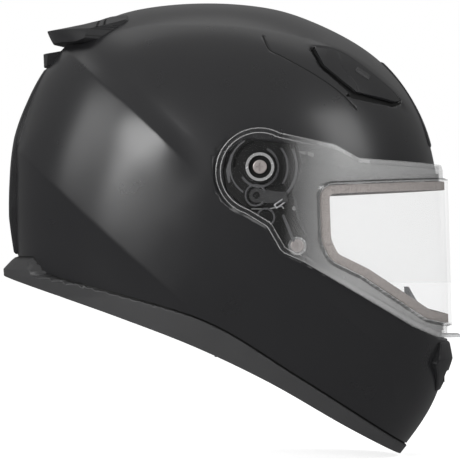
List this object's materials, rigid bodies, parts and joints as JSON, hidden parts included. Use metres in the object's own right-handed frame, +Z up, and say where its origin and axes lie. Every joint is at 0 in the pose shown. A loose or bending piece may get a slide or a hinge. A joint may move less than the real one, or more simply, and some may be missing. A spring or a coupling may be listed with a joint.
{
  "type": "full-face motorcycle helmet",
  "caption": "Full-face motorcycle helmet with a clear flip-up visor, adjustable brow and chin vents, rear spoiler, foam and fabric lining and a buckled chin strap.",
  "frame": {"origin": "on the mid-plane at the centre of the wearer's head, level with the tops of the ears, helmet in the attitude in which it is worn", "axes": "+X forward, +Y to the wearer's left, +Z up out of the crown"},
  "size_m": [0.3269, 0.2456, 0.3237],
  "materials": {
    "shell_paint": "satin",
    "trim_plastic": "matte",
    "seal_rubber": "matte",
    "foam": "beaded foam",
    "lining_fabric": "brushed knit",
    "vent_plastic": "satin",
    "mesh_plastic": "matte",
    "guard_rubber": "matte",
    "visor_clear": "clear",
    "pane_clear": "clear",
    "gasket_foam": "soft foam",
    "plate_plastic": "moulded",
    "lever_plastic": "moulded",
    "ring_metal": "bright",
    "screw_steel": "zinc plated",
    "anchor_steel": "plain",
    "spring_steel": "plain",
    "insert_brass": "plain",
    "webbing": "woven",
    "snap_plastic": "moulded"
  },
  "bodies": {
    "helmet": {"breath_guard": "guard_rubber", "brow_vent_housing_left": "vent_plastic", "brow_vent_housing_right": "vent_plastic", "cheek_pad_left": "lining_fabric", "cheek_pad_right": "lining_fabric", "cheek_pad_snaps": "snap_plastic", "chin_strap_left": "webbing", "chin_strap_right": "webbing", "chin_vent_housing": "vent_plastic", "chin_vent_mesh": "mesh_plastic", "crown_liner": "lining_fabric", "d_rings": "ring_metal", "eps_chin_liner": "foam", "eps_liner": "foam", "eye_port_seal": "seal_rubber", "forehead_panel": "vent_plastic", "lever_spring_left": "spring_steel", "lever_spring_right": "spring_steel", "lower_screw_washers": "ring_metal", "lower_screws": "screw_steel", "neck_roll": "lining_fabric", "neck_trim": "trim_plastic", "pivot_ring_left": "ring_metal", "pivot_ring_right": "ring_metal", "pivot_screws": "screw_steel", "rear_exhaust_cover": "vent_plastic", "rear_exhaust_panel": "vent_plastic", "rear_spoiler": "vent_plastic", "shell": "shell_paint", "strap_anchor_left": "anchor_steel", "strap_anchor_right": "anchor_steel", "strap_rivets": "anchor_steel", "threaded_inserts": "insert_brass", "visor_base_plate_left": "plate_plastic", "visor_base_plate_right": "plate_plastic"},
    "visor": {"visor": "visor_clear", "visor_gasket": "gasket_foam", "visor_inner_pane": "pane_clear"},
    "release_lever_left": {"release_lever_left": "lever_plastic"},
    "release_lever_right": {"release_lever_right": "lever_plastic"},
    "brow_vent_slider_left": {"brow_vent_slider_left": "vent_plastic"},
    "brow_vent_slider_right": {"brow_vent_slider_right": "vent_plastic"},
    "chin_vent_shutter": {"chin_vent_shutter": "vent_plastic"}
  },
  "joints": [
    {"name": "visor_hinge", "type": "hinge", "parent": "helmet", "child": "visor", "pos_m": [0.0313, 0, 0.0572], "axis": [0, -1, 0], "range_deg": [0, 55]},
    {"name": "release_lever_left_hinge", "type": "hinge", "parent": "helmet", "child": "release_lever_left", "pos_m": [0.0289, 0.1155, 0.0377], "axis": [0, -1, 0], "range_deg": [0, 12], "stiffness_Nm_per_rad": 0.02},
    {"name": "release_lever_right_hinge", "type": "hinge", "parent": "helmet", "child": "release_lever_right", "pos_m": [0.0289, -0.1155, 0.0377], "axis": [0, -1, 0], "range_deg": [0, 12], "stiffness_Nm_per_rad": 0.02},
    {"name": "brow_vent_slide_left", "type": "slide", "parent": "helmet", "child": "brow_vent_slider_left", "axis": [0.8137, -0.2583, -0.5208], "range_m": [0, 0.006]},
    {"name": "brow_vent_slide_right", "type": "slide", "parent": "helmet", "child": "brow_vent_slider_right", "axis": [0.8137, 0.2583, -0.5208], "range_m": [0, 0.006]},
    {"name": "chin_vent_slide", "type": "slide", "parent": "helmet", "child": "chin_vent_shutter", "axis": [0, 0, 1], "range_m": [0, 0.007]}
  ]
}
